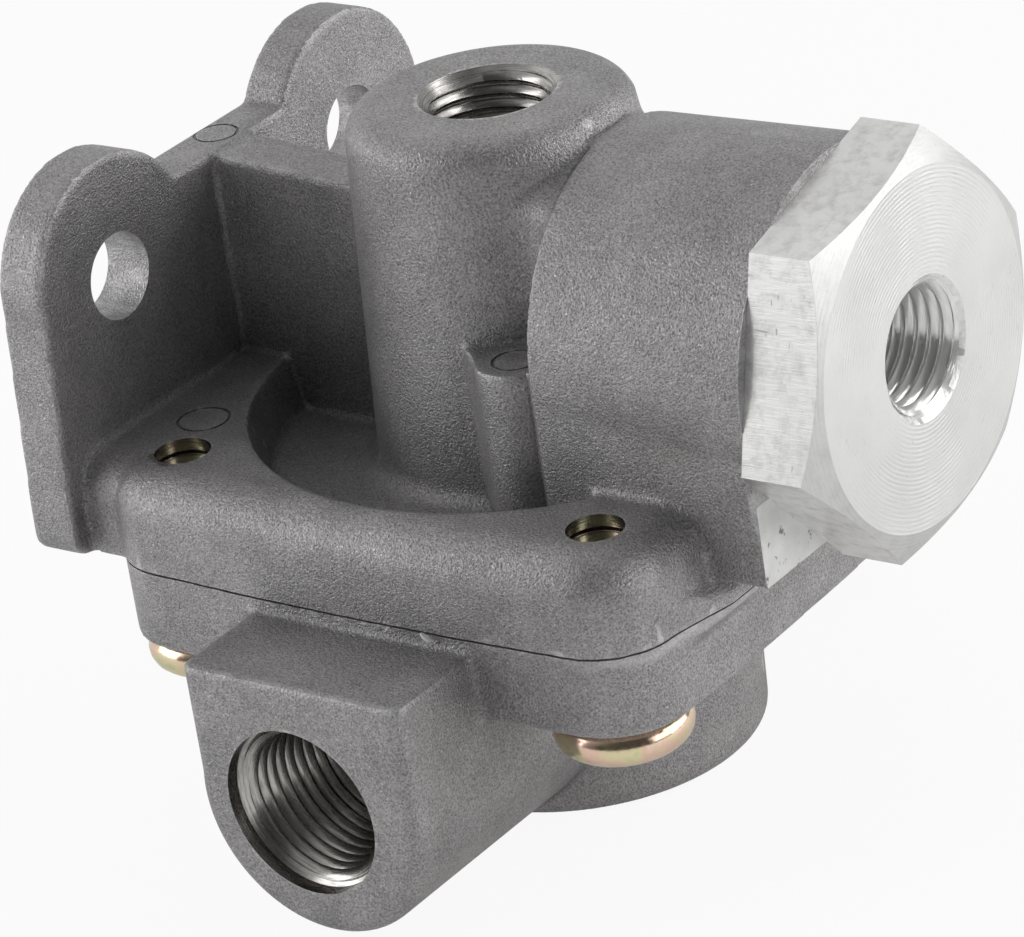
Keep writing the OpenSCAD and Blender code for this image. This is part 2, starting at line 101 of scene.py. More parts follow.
def math_node(tree, operation, a, b=None, clamp=False):
    node = add(tree, "ShaderNodeMath", operation=operation, use_clamp=clamp)
    for index, value in enumerate((a, b)):
        if value is None:
            continue
        if isinstance(value, (int, float)):
            node.inputs[index].default_value = value
        else:
            tree.links.new(value, node.inputs[index])
    return node.outputs[0]


def ramp(tree, value, stops):
    node = add(tree, "ShaderNodeValToRGB")
    elements = node.color_ramp.elements
    elements[0].position, elements[0].color = stops[0][0], grey(stops[0][1])
    elements[1].position, elements[1].color = stops[-1][0], grey(stops[-1][1])
    for position, colour in stops[1:-1]:
        elements.new(position).color = grey(colour)
    tree.links.new(value, node.inputs[0])
    return node.outputs[0]


def grey(colour):
    if isinstance(colour, (int, float)):
        return (colour, colour, colour, 1)
    return (*colour, 1)


def mix_colour(tree, factor, a, b, blend="MIX"):
    node = add(tree, "ShaderNodeMix", data_type="RGBA", blend_type=blend)
    for socket, value in zip((node.inputs[0], node.inputs[6], node.inputs[7]), (factor, a, b)):
        if isinstance(value, (int, float)):
            socket.default_value = value
        elif isinstance(value, tuple):
            socket.default_value = grey(value)
        else:
            tree.links.new(value, socket)
    return node.outputs[2]


def noise(tree, vector, scale, detail=2.0, rough=0.5):
    node = add(tree, "ShaderNodeTexNoise")
    node.inputs["Scale"].default_value = scale
    node.inputs["Detail"].default_value = detail
    node.inputs["Roughness"].default_value = rough
    tree.links.new(vector, node.inputs["Vector"])
    return node.outputs[0]


def stretched(tree, vector, turn, scale):
    node = add(tree, "ShaderNodeMapping")
    node.inputs["Rotation"].default_value = turn
    node.inputs["Scale"].default_value = scale
    tree.links.new(vector, node.inputs["Vector"])
    return node.outputs[0]


def new_group(name, inputs, outputs):
    group = bpy.data.node_groups.new(name, "ShaderNodeTree")
    for label, default in inputs:
        socket = group.interface.new_socket(name=label, in_out="INPUT", socket_type="NodeSocketFloat")
        socket.default_value = default
    for label in outputs:
        group.interface.new_socket(name=label, in_out="OUTPUT", socket_type="NodeSocketFloat")
    return group, group.nodes.new("NodeGroupInput"), group.nodes.new("NodeGroupOutput")


def place_group(tree, group, **values):
    node = add(tree, "ShaderNodeGroup")
    node.node_tree = group
    for label, value in values.items():
        node.inputs[label].default_value = value
    return node


def bump(tree, height, shader, strength, distance):
    node = add(tree, "ShaderNodeBump")
    node.inputs["Strength"].default_value = strength
    node.inputs["Distance"].default_value = distance
    tree.links.new(height, node.inputs["Height"])
    tree.links.new(node.outputs[0], shader.inputs["Normal"])


# Shared surface effects
def make_blast_grain():
    """Fine dents and bright flecks that shot blasting leaves, with a slow drift of tone."""
    group, inputs, outputs = new_group("blast_grain", [("Scale", 1.0)], ["Height", "Fleck", "Drift"])
    place = add(group, "ShaderNodeTexCoord").outputs["Object"]
    sized = add(group, "ShaderNodeVectorMath", operation="SCALE")
    group.links.new(place, sized.inputs[0])
    group.links.new(inputs.outputs["Scale"], sized.inputs["Scale"])
    where = sized.outputs[0]
    fine = noise(group, where, 7000, 2.0, 0.6)
    coarse = noise(group, where, 3600, 2.0, 0.55)
    dents = add(group, "ShaderNodeTexVoronoi")
    dents.inputs["Scale"].default_value = 4200
    group.links.new(where, dents.inputs["Vector"])
    small = math_node(group, "MULTIPLY", fine, 0.45)
    large = math_node(group, "MULTIPLY", coarse, 0.55)
    mixed = math_node(group, "ADD", small, large)
    height = math_node(group, "ADD", mixed, math_node(group, "MULTIPLY", dents.outputs["Distance"], 0.35))
    group.links.new(height, outputs.inputs["Height"])
    sparkle = noise(group, where, 5000, 1.0, 0.4)
    fleck = ramp(group, sparkle, [(0.60, 0.0), (0.78, 1.0)])
    group.links.new(fleck, outputs.inputs["Fleck"])
    group.links.new(noise(group, where, 160, 4.0, 0.6), outputs.inputs["Drift"])
    return group


def make_edge_and_crease_masks():
    """Mask of raised edges, broken up by noise, for edge wear and painted highlight, and one of the concave
    creases, for painted shade.
    """
    group, inputs, outputs = new_group("edge_and_crease_masks", [("Low", 0.52), ("High", 0.60)], ["Mask", "Crease"])
    point = add(group, "ShaderNodeNewGeometry").outputs["Pointiness"]
    span = add(group, "ShaderNodeMapRange")
    group.links.new(point, span.inputs["Value"])
    group.links.new(inputs.outputs["Low"], span.inputs["From Min"])
    group.links.new(inputs.outputs["High"], span.inputs["From Max"])
    place = add(group, "ShaderNodeTexCoord").outputs["Object"]
    patchy = ramp(group, noise(group, place, 420, 3.0, 0.6), [(0.38, 0.15), (0.62, 1.0)])
    # Raised edges, which the casting lightens: partly edge wear, partly painted highlight
    group.links.new(math_node(group, "MULTIPLY", span.outputs[0], patchy), outputs.inputs["Mask"])
    # Concave creases, into which the casting paints shade
    group.links.new(ramp(group, point, [(0.470, 1.0), (0.492, 0.0)]), outputs.inputs["Crease"])
    return group


def make_scratches():
    """Thin scuffs in two directions."""
    group, inputs, outputs = new_group("scratches", [("Amount", 0.5)], ["Mask"])
    place = add(group, "ShaderNodeTexCoord").outputs["Object"]
    one = noise(group, stretched(group, place, (0.3, 0.5, 0.9), (130, 3200, 900)), 1.0, 2.0, 0.5)
    two = noise(group, stretched(group, place, (1.1, -0.4, 0.2), (2600, 150, 700)), 1.0, 2.0, 0.5)
    long = ramp(group, one, [(0.69, 0.0), (0.74, 1.0)])
    cross = ramp(group, two, [(0.70, 0.0), (0.75, 1.0)])
    lines = math_node(group, "MAXIMUM", long, cross)
    patches = ramp(group, noise(group, place, 90, 2.0, 0.5), [(0.45, 0.0), (0.62, 1.0)])
    kept = math_node(group, "MULTIPLY", lines, patches)
    group.links.new(math_node(group, "MULTIPLY", kept, inputs.outputs["Amount"]), outputs.inputs["Mask"])
    return group


def make_torn_band():
    """Mask of the light torn strip just under the joint at the cap's side."""
    group, inputs, outputs = new_group("torn_band", [("Level", 0.0279), ("Width", 0.0008)], ["Mask"])
    place = add(group, "ShaderNodeTexCoord").outputs["Object"]
    parts = add(group, "ShaderNodeSeparateXYZ")
    group.links.new(place, parts.inputs[0])
    wander = math_node(group, "SUBTRACT", noise(group, place, 260, 3.0, 0.55), 0.5)
    level = math_node(group, "ADD", parts.outputs["Z"], math_node(group, "MULTIPLY", wander, 0.0014))
    off = math_node(group, "ABSOLUTE", math_node(group, "SUBTRACT", level, inputs.outputs["Level"]))
    share = math_node(group, "DIVIDE", off, inputs.outputs["Width"])
    strip = math_node(group, "SUBTRACT", 1.0, share, clamp=True)
    reach = add(group, "ShaderNodeMapRange")
    reach.inputs["From Min"].default_value = 0.0255
    reach.inputs["From Max"].default_value = 0.0290
    group.links.new(parts.outputs["X"], reach.inputs["Value"])
    near = add(group, "ShaderNodeMapRange")
    near.inputs["From Min"].default_value = -0.0122
    near.inputs["From Max"].default_value = -0.0135
    group.links.new(parts.outputs["Y"], near.inputs["Value"])
    side = math_node(group, "MULTIPLY", reach.outputs[0], near.outputs[0])
    group.links.new(math_node(group, "MULTIPLY", strip, side), outputs.inputs["Mask"])
    return group


blast_grain = make_blast_grain()
torn_band = make_torn_band()
edge_and_crease_masks = make_edge_and_crease_masks()
scratches = make_scratches()


# Finishes
def make_casting(name, seam):
    """Grey shot-blasted aluminium; seam is how strongly the torn strip at the joint shows."""
    material, tree, shader = new_material(name)
    grain = place_group(tree, blast_grain, Scale=1.0)
    edge_and_crease = place_group(tree, edge_and_crease_masks, Low=0.518, High=0.570)
    scuff = place_group(tree, scratches, Amount=0.4)
    base = ramp(tree, grain.outputs["Drift"], [(0.3, (0.270, 0.263, 0.264)), (0.7, (0.364, 0.354, 0.356))])
    shade = ramp(tree, grain.outputs["Height"], [(0.38, 0.42), (0.60, 0.95), (0.78, 1.35)])
    toned = mix_colour(tree, 1.0, base, shade, "MULTIPLY")
    sparkle = math_node(tree, "MULTIPLY", grain.outputs["Fleck"], 0.60)
    flecked = mix_colour(tree, sparkle, toned, (0.70, 0.69, 0.70))
    # Creases darkened towards near black: painted shade
    painted_crease_shade = math_node(tree, "MULTIPLY", edge_and_crease.outputs["Crease"], 0.45)
    crease_shaded = mix_colour(tree, painted_crease_shade, flecked, (0.08, 0.078, 0.078))
    # Raised edges lightened: partly edge wear, partly painted highlight
    edge_wear_and_highlight = math_node(tree, "MULTIPLY", edge_and_crease.outputs["Mask"], 0.70)
    worn_and_highlit = mix_colour(tree, edge_wear_and_highlight, crease_shaded, (0.72, 0.71, 0.72))
    scuffed = mix_colour(tree, scuff.outputs["Mask"], worn_and_highlit, (0.56, 0.55, 0.56))
    line = place_group(tree, torn_band)
    tear = math_node(tree, "MULTIPLY", line.outputs["Mask"], seam)
    seamed = mix_colour(tree, tear, scuffed, (0.60, 0.59, 0.60))
    tree.links.new(seamed, shader.inputs["Base Color"])
    shader.inputs["Metallic"].default_value = 0.8
    gloss = ramp(tree, grain.outputs["Fleck"], [(0.0, 0.50), (1.0, 0.30)])
    tree.links.new(gloss, shader.inputs["Roughness"])
    bump(tree, grain.outputs["Height"], shader, 0.75, 0.00019)
    return material


def make_machined():
    material, tree, shader = new_material("machined_face")
    scuff = place_group(tree, scratches, Amount=1.0)
    place = add(tree, "ShaderNodeTexCoord").outputs["Object"]
    pits = ramp(tree, noise(tree, place, 900, 2.0, 0.6), [(0.28, 1.0), (0.36, 0.0)])
    drift = noise(tree, place, 300, 3.0, 0.6)
    clean = ramp(tree, drift, [(0.3, (0.66, 0.66, 0.65)), (0.7, (0.80, 0.80, 0.79))])
    marks = math_node(tree, "MAXIMUM", pits, scuff.outputs["Mask"])
    marked = mix_colour(tree, marks, clean, (0.25, 0.24, 0.24))
    tree.links.new(marked, shader.inputs["Base Color"])
    shader.inputs["Metallic"].default_value = 1.0
    shader.inputs["Roughness"].default_value = 0.38
    lines = noise(tree, stretched(tree, place, (0.0, 0.0, 0.0), (200, 200, 5200)), 1.0, 2.0, 0.5)
    bump(tree, lines, shader, 0.25, 0.00008)
    return material


def make_cut_thread(name, low, high, smooth, stretch, metal=1.0):
    """Tapped metal, with the cutter's lines drawn round the hole."""
    material, tree, shader = new_material(name)
    place = add(tree, "ShaderNodeTexCoord").outputs["Object"]
    torn = noise(tree, stretched(tree, place, (0.0, 0.0, 0.0), stretch), 1.0, 3.0, 0.6)
    tree.links.new(ramp(tree, torn, [(0.32, low), (0.62, high)]), shader.inputs["Base Color"])
    shader.inputs["Metallic"].default_value = metal
    tree.links.new(ramp(tree, torn, [(0.3, smooth + 0.14), (0.7, smooth)]), shader.inputs["Roughness"])
    bump(tree, torn, shader, 0.30, 0.00008)
    return material


def make_chip_metal():
    """Pale torn aluminium of a loose chip."""
    material, tree, shader = new_material("pale_chip")
    place = add(tree, "ShaderNodeTexCoord").outputs["Object"]
    torn = noise(tree, place, 3200, 2.0, 0.6)
    tree.links.new(ramp(tree, torn, [(0.3, 0.86), (0.7, 0.97)]), shader.inputs["Base Color"])
    shader.inputs["Metallic"].default_value = 0.0
    shader.inputs["Roughness"].default_value = 0.45
    bump(tree, torn, shader, 0.3, 0.00006)
    return material


def make_bright_cap():
    """Turned face with rings about the supply axis, milled flats with smudges."""
    material, tree, shader = new_material("bright_turned_cap")
    coord = add(tree, "ShaderNodeTexCoord")
    place = coord.outputs["Object"]
    parts = add(tree, "ShaderNodeSeparateXYZ")
    tree.links.new(place, parts.inputs[0])
    facing = add(tree, "ShaderNodeSeparateXYZ")
    tree.links.new(coord.outputs["Normal"], facing.inputs[0])
    front = ramp(tree, facing.outputs["X"], [(0.80, 0.0), (0.97, 1.0)])
    cone = ramp(tree, facing.outputs["X"], [(0.82, 0.0), (0.87, 1.0), (0.94, 1.0), (0.98, 0.0)])
    up = math_node(tree, "SUBTRACT", parts.outputs["Z"], BARREL_AXIS_Z)
    across = parts.outputs["Y"]
    up_squared = math_node(tree, "MULTIPLY", up, up)
    across_squared = math_node(tree, "MULTIPLY", across, across)
    squares = math_node(tree, "ADD", up_squared, across_squared)
    radius = math_node(tree, "SQRT", squares)
    angle = math_node(tree, "ARCTAN2", up, across)
    polar = add(tree, "ShaderNodeCombineXYZ")
    tree.links.new(math_node(tree, "MULTIPLY", radius, 5200.0), polar.inputs["X"])
    tree.links.new(math_node(tree, "MULTIPLY", angle, 9.0), polar.inputs["Y"])
    torn = noise(tree, polar.outputs[0], 1.0, 3.0, 0.65)
    patches = ramp(tree, noise(tree, place, 210, 2.0, 0.5), [(0.42, 0.0), (0.60, 1.0)])
    rings = math_node(tree, "SINE", math_node(tree, "MULTIPLY", radius, 14500.0))
    ring_depth = math_node(tree, "ADD", math_node(tree, "MULTIPLY", patches, 0.22), 0.05)
    tear = math_node(tree, "MULTIPLY", ramp(tree, torn, [(0.28, 1.0), (0.37, 0.0)]), patches)
    milled = noise(tree, stretched(tree, place, (0.0, 0.0, 0.0), (420, 5200, 5200)), 1.0, 3.0, 0.6)
    smudge = ramp(tree, noise(tree, place, 640, 5.0, 0.7), [(0.46, 0.0), (0.70, 1.0)])
    worn = place_group(tree, scratches, Amount=0.8)
    flat_marks = math_node(tree, "MAXIMUM", math_node(tree, "MULTIPLY", smudge, 0.42), worn.outputs["Mask"])
    dark = mix_colour(tree, front, flat_marks, math_node(tree, "MULTIPLY", tear, 0.7))
    drift = noise(tree, place, 110, 3.0, 0.5)
    tone = ramp(tree, drift, [(0.3, (0.80, 0.80, 0.79)), (0.7, (0.90, 0.90, 0.89))])
    dull = mix_colour(tree, 1.0, tone, (0.87, 0.87, 0.87), "MULTIPLY")
    faced = mix_colour(tree, front, tone, dull)
    dim = mix_colour(tree, 1.0, faced, (0.83, 0.83, 0.83), "MULTIPLY")
    marked = mix_colour(tree, dark, mix_colour(tree, cone, faced, dim), (0.36, 0.35, 0.34))
    tree.links.new(marked, shader.inputs["Base Color"])
    shader.inputs["Metallic"].default_value = 1.0
    gloss = ramp(tree, torn, [(0.3, 0.46), (0.7, 0.34)])
    cone_rough = math_node(tree, "MULTIPLY", cone, 0.10)
    tree.links.new(math_node(tree, "ADD", gloss, cone_rough), shader.inputs["Roughness"])
    turned = math_node(tree, "ADD", math_node(tree, "MULTIPLY", rings, ring_depth), torn)
    relief = mix_colour(tree, front, milled, turned)
    bump(tree, relief, shader, 0.40, 0.00012)
    return material


def make_yellow_zinc():
    material, tree, shader = new_material("yellow_zinc")
    place = add(tree, "ShaderNodeTexCoord").outputs["Object"]
    film = noise(tree, place, 260, 3.0, 0.55)
    green, gold = (0.52, 0.58, 0.34), (0.78, 0.70, 0.44)
    pink, straw = (0.84, 0.58, 0.46), (0.86, 0.82, 0.66)
    tint = ramp(tree, film, [(0.30, green), (0.44, gold), (0.56, pink), (0.70, straw)])
    tree.links.new(tint, shader.inputs["Base Color"])
    shader.inputs["Metallic"].default_value = 1.0
    speck = noise(tree, place, 1900, 2.0, 0.6)
    tree.links.new(ramp(tree, speck, [(0.3, 0.12), (0.7, 0.26)]), shader.inputs["Roughness"])
    bump(tree, speck, shader, 0.15, 0.00006)
    return material


def make_rubber():
    material, tree, shader = new_material("nitrile_rubber")
    place = add(tree, "ShaderNodeTexCoord").outputs["Object"]
    bloom = noise(tree, place, 500, 4.0, 0.6)
    black = ramp(tree, bloom, [(0.3, (0.018, 0.018, 0.018)), (0.7, (0.040, 0.039, 0.038))])
    tree.links.new(black, shader.inputs["Base Color"])
    tree.links.new(ramp(tree, bloom, [(0.3, 0.48), (0.7, 0.66)]), shader.inputs["Roughness"])
    bump(tree, noise(tree, place, 2600, 2.0, 0.6), shader, 0.2, 0.00005)
    return material


def make_plain_metal(name, low, high, rough):
    """Drawn or turned metal with fine lines and a drift of tone."""
    material, tree, shader = new_material(name)
    place = add(tree, "ShaderNodeTexCoord").outputs["Object"]
    drift = noise(tree, place, 420, 3.0, 0.6)
    tree.links.new(ramp(tree, drift, [(0.3, low), (0.7, high)]), shader.inputs["Base Color"])
    shader.inputs["Metallic"].default_value = 1.0
    lines = noise(tree, stretched(tree, place, (0.0, 0.0, 0.0), (5200, 300, 300)), 1.0, 2.0, 0.5)
    gloss = ramp(tree, lines, [(0.3, rough - 0.08), (0.7, rough + 0.08)])
    tree.links.new(gloss, shader.inputs["Roughness"])
    bump(tree, lines, shader, 0.2, 0.00006)
    return material


DARK_CUT, PALE_CUT = (0.30, 0.29, 0.28), (0.54, 0.52, 0.50)
LOW_SILVER, HIGH_SILVER = (0.80, 0.80, 0.79), (0.93, 0.93, 0.92)

casting = make_casting("shot_blasted_casting", 0.0)
cover_casting = make_casting("shot_blasted_cover", 0.7)
machined = make_machined()
cut_thread = make_cut_thread("cut_thread", DARK_CUT, PALE_CUT, 0.18, (420, 420, 4200))
side_thread = make_cut_thread("side_thread", DARK_CUT, PALE_CUT, 0.18, (420, 4200, 420))
bright_thread = make_cut_thread("bright_thread", LOW_SILVER, HIGH_SILVER, 0.12, (4200, 420, 420), 0.6)
chip_metal = make_chip_metal()
bright_cap = make_bright_cap()
yellow_zinc = make_yellow_zinc()
rubber = make_rubber()
brass = make_plain_metal("turned_brass", (0.56, 0.41, 0.17), (0.68, 0.52, 0.24), 0.32)
spring_steel = make_plain_metal("drawn_spring_steel", (0.36, 0.36, 0.37), (0.50, 0.50, 0.51), 0.34)


# Mesh helpers
def object_from(name, bm, materials=()):
    mesh = bpy.data.meshes.new(name)
    bm.to_mesh(mesh)
    bm.free()
    for material in materials:
        mesh.materials.append(material)
    piece = bpy.data.objects.new(name, mesh)
    bpy.context.scene.collection.objects.link(piece)
    return piece


def node_bmesh(*names):
    """A merged copy of the meshes of CAD nodes."""
    bm = bmesh.new()
    for name in names:
        bm.from_mesh(nodes[name].data)
    bmesh.ops.remove_doubles(bm, verts=bm.verts, dist=1e-6)
    return bm


def bake_modifiers(piece):
    graph = bpy.context.evaluated_depsgraph_get()
    mesh = bpy.data.meshes.new_from_object(piece.evaluated_get(graph))
    piece.modifiers.clear()
    piece.data = mesh


def carve(piece, cutter, operation="DIFFERENCE"):
    """Cuts piece with a closed mesh and removes the cutter."""
    modifier = piece.modifiers.new("carve", "BOOLEAN")
    modifier.operation = operation
    modifier.object = cutter
    modifier.solver = "MANIFOLD"
    bake_modifiers(piece)
    mesh = cutter.data
    bpy.data.objects.remove(cutter)
    bpy.data.meshes.remove(mesh)


def add_rod(bm, start, direction, length, radius, segments=48):
    """Closed round bar from a point along a direction."""
    turn = Z_AXIS.rotation_difference(direction).to_matrix().to_4x4()
    place = Matrix.Translation(start + direction * (length / 2)) @ turn
    bmesh.ops.create_cone(
        bm, cap_ends=True, segments=segments, radius1=radius, radius2=radius, depth=length, matrix=place
    )


def add_block(bm, low, high):
    size = Vector(high) - Vector(low)
    place = Matrix.Translation((Vector(low) + Vector(high)) / 2) @ Matrix.Diagonal((*size, 1))
    bmesh.ops.create_cube(bm, size=1.0, matrix=place)


def add_turned(bm, origin, axis, outline, steps=96):
    """Spins an outline of (radius, height along the axis) pairs into a closed turned form."""
    side = axis.orthogonal().normalized()
    verts = [bm.verts.new(origin + side * r + axis * h) for r, h in outline]
    edges = [bm.edges.new(pair) for pair in zip(verts, verts[1:])]
    start = len(bm.faces)
    bmesh.ops.spin(
        bm, geom=verts + edges, cent=origin, axis=axis, angle=math.tau, steps=steps, use_merge=True
    )
    bm.faces.ensure_lookup_table()
    faces = bm.faces[start:]
    points = list({v for face in faces for v in face.verts})
    bmesh.ops.remove_doubles(bm, verts=points, dist=1e-7)
    bmesh.ops.recalc_face_normals(bm, faces=bm.faces)


def turned(name, origin, axis, outline, steps=96):
    bm = bmesh.new()
    add_turned(bm, origin, axis, outline, steps)
    return object_from(name, bm)


def soften(piece, voxel, rounds, kept, blend=None):
    """Remeshes a joined form into one skin, rounds its cast edges and thins out its flat parts.

    blend is the low and high corner of a box in which the folds are rounded off further.
    """
    remesh = piece.modifiers.new("skin", "REMESH")
    remesh.mode = "VOXEL"
    remesh.voxel_size = voxel
    smooth = piece.modifiers.new("round", "SMOOTH")
    smooth.factor = 0.5
    smooth.iterations = rounds
    if blend:
        bake_modifiers(piece)
        low, high = blend
        points = piece.data.vertices
        chosen = [v.index for v in points if all(a < c < b for a, c, b in zip(low, v.co, high))]
        piece.vertex_groups.new(name="fold").add(chosen, 1.0, "REPLACE")
        melt = piece.modifiers.new("melt", "SMOOTH")
        melt.vertex_group = "fold"
        melt.factor = 0.5
        melt.iterations = 40
    thin = piece.modifiers.new("thin", "DECIMATE")
    thin.ratio = kept
    bake_modifiers(piece)
    piece.vertex_groups.clear()


def shade(piece, angle):
    mesh = piece.data
    mesh.polygons.foreach_set("use_smooth", [True] * len(mesh.polygons))
    mesh.set_sharp_from_angle(angle=math.radians(angle))


def dress(piece, *materials):
    piece.data.materials.clear()
    for material in materials:
        piece.data.materials.append(material)


def finish_piece(piece, body="valve", angle=35.0):
    shade(piece, angle)
    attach(piece, body)


def slab(node, low, high, shift, name):
    """A slice of a CAD node, moved, which carries its outline past a machined face."""
    piece = object_from(name, node_bmesh(node))
    bm = bmesh.new()
    add_block(bm, low, high)
    carve(piece, object_from(name + "_box", bm), "INTERSECT")
    bm = bmesh.new()
    bm.from_mesh(piece.data)
    bmesh.ops.translate(bm, verts=bm.verts, vec=shift)
    bm.to_mesh(piece.data)
    bm.free()
    return piece


def join_into(bm, piece):
    bm.from_mesh(piece.data)
    mesh = piece.data
    bpy.data.objects.remove(piece)
    bpy.data.meshes.remove(mesh)


def wrap_points(bm):
    """Replaces what is drawn so far by the tight skin round its points."""
    bmesh.ops.delete(bm, geom=bm.edges[:] + bm.faces[:], context="EDGES_FACES")
    made = bmesh.ops.convex_hull(bm, input=bm.verts)
    inside = [item for item in made["geom_interior"] if isinstance(item, bmesh.types.BMVert)]
    bmesh.ops.delete(bm, geom=inside, context="VERTS")


def cut_joint_gap(piece, low, high):
    """Thin slot round the joint, as deep as the castings' rounded rims."""
    bm = bmesh.new()
    add_block(bm, (JOINT_LEFT_X, -45 * MM, low), (45 * MM, 45 * MM, high))
    long = [edge for edge in bm.edges if edge.calc_length() > 2 * MM]
    bmesh.ops.subdivide_edges(bm, edges=long, cuts=90, use_grid_fill=True)
    for vert in bm.verts:
        vert.co.z += JOINT_WAVE * noise_at(vert.co * 900)
    slot = object_from("joint_slot", bm)
    bm = bmesh.new()
    for x, y in SCREWS:
        add_rod(bm, Vector((x, y, JOINT_Z - MM)), Z_AXIS, 2 * MM, 6.8 * MM)
    wrap_points(bm)
    carve(slot, object_from("joint_core", bm))
    carve(piece, slot)


# Upper casting
NECK_BOX = ((4 * MM, -14.5 * MM, 55 * MM), (14.3 * MM, 14.5 * MM, 67.3 * MM))
# Place, axis and radius of each ring, and its depth, which is half its width too
EJECTOR_MARKS = [
    ((-27.2 * MM, -18.2 * MM, BASE_TOP_Z), (0, 0, 1), 2.6 * MM),
    ((11.0 * MM, -15.6 * MM, 49.6 * MM), (0, 0, 1), 2.2 * MM),
    ((-36.5 * MM, 1.3 * MM, 60.2 * MM), (0, 0, 1), 2.2 * MM),
]
MARK_DEPTH = 0.16 * MM


def build_body():
    bm = node_bmesh("body", "mounting_plate")
    # Bars that fill the machined holes, so that the cast skin closes over them
    add_rod(bm, Vector((0, 0, 37.4 * MM)), Z_AXIS, BOSS_TOP_Z - 37.42 * MM, 8.2 * MM)
    add_rod(bm, Vector((-1 * MM, 0, BARREL_AXIS_Z)), X_AXIS, 18 * MM, 4.8 * MM)
    add_rod(bm, Vector((CHAMBER_X - 0.8 * MM, 0, BARREL_AXIS_Z)), X_AXIS, 26 * MM, 12.2 * MM)
    add_rod(bm, Vector((27.4 * MM, 0, BARREL_AXIS_Z)), X_AXIS, 12.8 * MM, 14.8 * MM)
    add_rod(bm, Vector((INLET_X, 0, 27 * MM)), Z_AXIS, 20 * MM, 3.8 * MM)
    add_rod(bm, Vector((0, 0, 26.8 * MM)), Z_AXIS, 4.4 * MM, 24.5 * MM, 96)
    for x, y in SCREWS:
        add_rod(bm, Vector((x, y, 26.8 * MM)), Z_AXIS, BASE_TOP_Z - 26.82 * MM, 3.15 * MM)
    for side in (-1, 1):
        start = Vector((PLATE_BACK_X + 0.02 * MM, side * EAR_Y, EAR_Z))
        add_rod(bm, start, X_AXIS, PLATE_FRONT_X - PLATE_BACK_X - 0.04 * MM, 5.2 * MM)
    # The neck a little higher, so that only a narrow crease is left at the barrel's rim
    low, high = (8 * MM, -BIG, 50 * MM), (14.5 * MM, BIG, 65.6 * MM)
    neck = slab("body", low, high, (0, 0, 1.5 * MM), "neck")
    join_into(bm, neck)
    # The base's foot and the barrel's end run past the faces that are cut later
    low, high = (JOINT_LEFT_X, -BIG, JOINT_Z - MM), (BIG, BIG, JOINT_Z + 1.6 * MM)
    foot = slab("body", low, high, (0, 0, -1.5 * MM), "foot")
    join_into(bm, foot)
    end = slab("body", (37.2 * MM, -BIG, 0), (BIG, BIG, BIG), (1.5 * MM, 0, 0), "end")
    join_into(bm, end)
    piece = object_from("body_casting", bm)
    soften(piece, VOXEL, 3, 0.42, NECK_BOX)
    machine_body(piece)
    dress(piece, casting, machined, cut_thread)
    assign_body_faces(piece)
    finish_piece(piece, angle=32.0)
    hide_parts("body", "mounting_plate")


def groove_outline(inner, outer, low, high):
    """Closed square outline of a ring groove."""
    return [(inner, high), (inner, low), (outer, low), (outer, high), (inner, high)]


def port_outline(rim, root, bore, end):
    """Small port from its mouth down: lead-in cone, thread root, then the plain bore to its end."""
    mouth = [(0, MM), (rim + MM, MM), (rim, 0), (root, root - rim), (root, -14 * MM)]
    return mouth + [(bore, -15 * MM), (bore, end), (0, end)]


